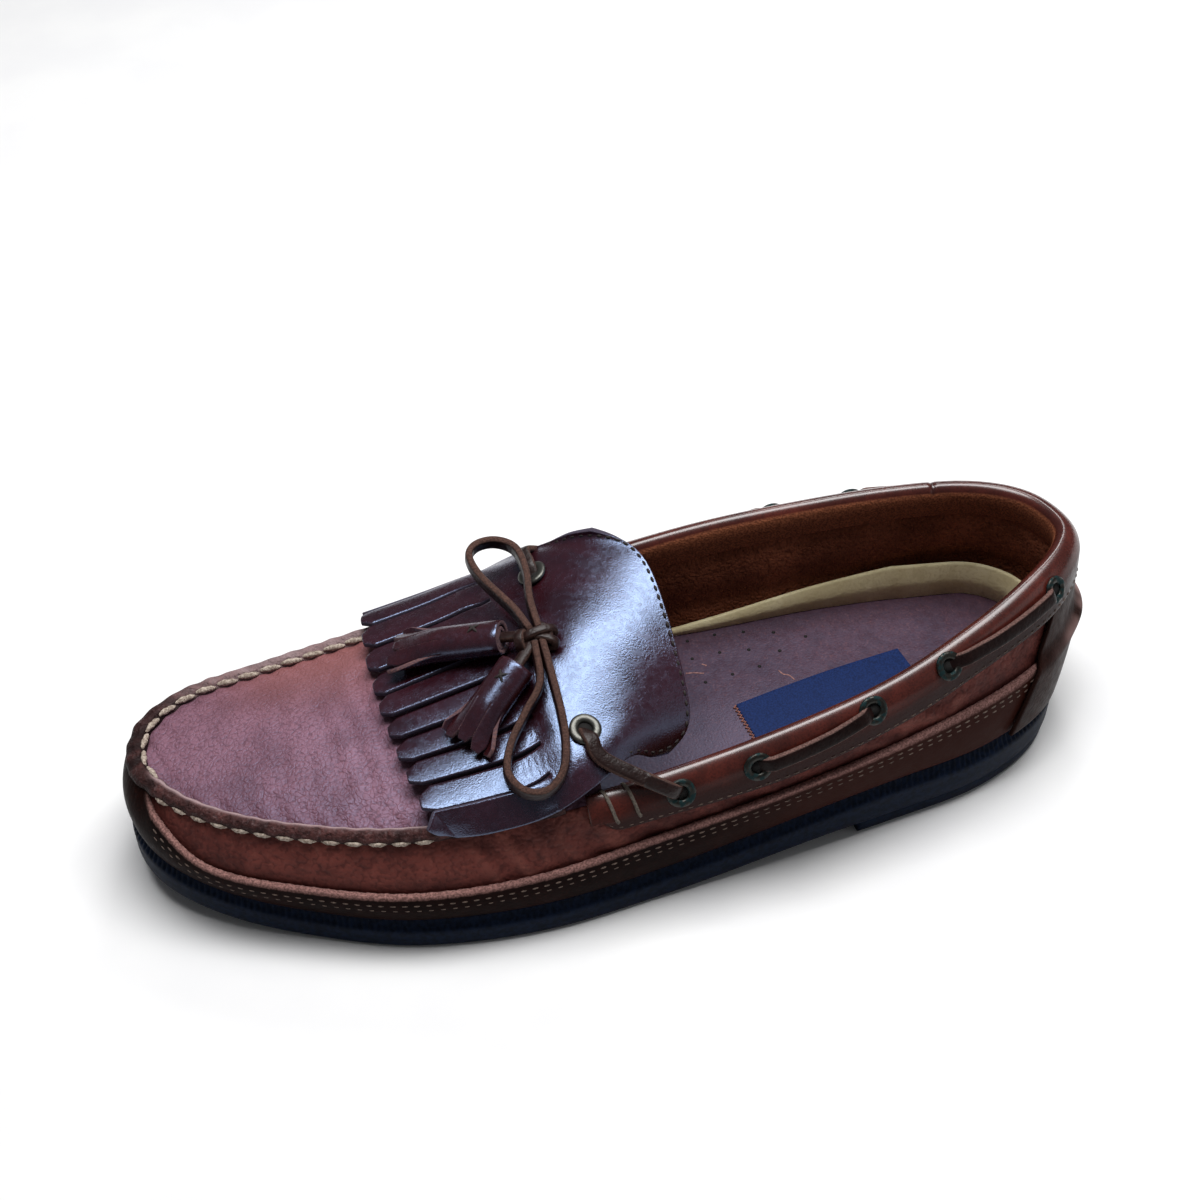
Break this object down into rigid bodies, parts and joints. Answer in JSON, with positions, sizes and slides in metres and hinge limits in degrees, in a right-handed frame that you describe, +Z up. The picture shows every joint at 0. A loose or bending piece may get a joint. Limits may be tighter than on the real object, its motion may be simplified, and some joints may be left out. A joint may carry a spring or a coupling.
{
  "type": "kiltie tassel loafer",
  "caption": "Left moccasin-toe loafer with a fringed kiltie, tasselled rawhide bow, side-laced padded collar and a flat rubber unit sole with a low heel.",
  "frame": {"origin": "bottom centre of the shoe's box, on the floor plane under the sole", "axes": "+X towards the heel, so the toe is at -X; -Y the lateral (outer) side; +Z up"},
  "size_m": [0.3045, 0.1126, 0.0744],
  "materials": {
    "sole_rubber": "matt dark navy moulded rubber",
    "upper_leather": "tumbled pebble-grain red-brown leather, worn",
    "kiltie_leather": "smooth polished dark burgundy leather",
    "collar_leather": "smooth polished mahogany leather over padding",
    "foxing_leather": "smooth dark brown leather with a raw edge",
    "insole_leather": "worn dark brown footbed leather",
    "heel_cup_leather": "worn tan moulded heel cup",
    "lace_rawhide": "brown rawhide thong with fuzzy cut edges",
    "eyelet_metal": "tarnished gunmetal brass"
  },
  "bodies": {
    "root": {"outsole": "sole_rubber", "upper": "upper_leather", "kiltie": "kiltie_leather", "insole": "insole_leather", "heel_cup": "heel_cup_leather", "foxing": "foxing_leather", "collar_band": "collar_leather", "heel_panel": "foxing_leather", "eyelet_lateral_1": "eyelet_metal", "eyelet_lateral_2": "eyelet_metal", "eyelet_lateral_3": "eyelet_metal", "eyelet_lateral_4": "eyelet_metal", "eyelet_lateral_5": "eyelet_metal", "eyelet_medial_1": "eyelet_metal", "eyelet_medial_2": "eyelet_metal", "eyelet_medial_3": "eyelet_metal", "eyelet_medial_4": "eyelet_metal", "eyelet_medial_5": "eyelet_metal", "eyelet_kiltie_lateral": "eyelet_metal", "eyelet_kiltie_medial": "eyelet_metal", "lace_lateral_1": "lace_rawhide", "lace_lateral_2": "lace_rawhide", "lace_medial_1": "lace_rawhide", "lace_medial_2": "lace_rawhide", "lace_lateral_front": "lace_rawhide", "lace_medial_front": "lace_rawhide", "bow": "lace_rawhide", "tassel_near": "kiltie_leather", "tassel_far": "kiltie_leather"}
  },
  "joints": []
}
